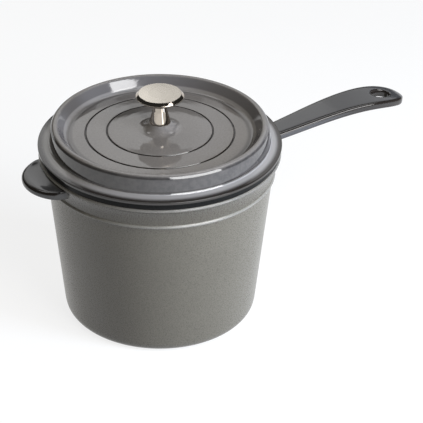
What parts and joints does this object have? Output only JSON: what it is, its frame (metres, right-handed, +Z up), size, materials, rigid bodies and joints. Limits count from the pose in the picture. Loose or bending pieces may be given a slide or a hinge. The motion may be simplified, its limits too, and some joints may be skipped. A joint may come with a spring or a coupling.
{
  "type": "saucepan",
  "caption": "Tall enamelled cast-iron saucepan with a long handle, a helper ear and a lift-off lid with a raised rim and a metal knob.",
  "frame": {"origin": "on the pot's axis, on the underside of its base", "axes": "+Z up along the pot's axis, +X along the long handle"},
  "size_m": [0.3316, 0.194, 0.1939],
  "materials": {
    "pot_enamel": "glossy graphite-grey enamel with a fine mottle",
    "lid_enamel": "glossy graphite-grey enamel with a fine mottle",
    "black_enamel": "matte black enamel on the rim, inside and underside",
    "knob_nickel": "polished nickel",
    "screw_steel": "plain steel"
  },
  "bodies": {
    "pot": {"pot_casting": "pot_enamel"},
    "lid": {"lid_casting": "lid_enamel", "lid_knob": "knob_nickel", "knob_screw": "screw_steel", "knob_washer": "screw_steel", "knob_lock_washer": "screw_steel"}
  },
  "joints": [
    {"name": "lid_lift", "type": "slide", "parent": "pot", "child": "lid", "axis": [0, 0, 1], "range_m": [0, 0.15]}
  ]
}
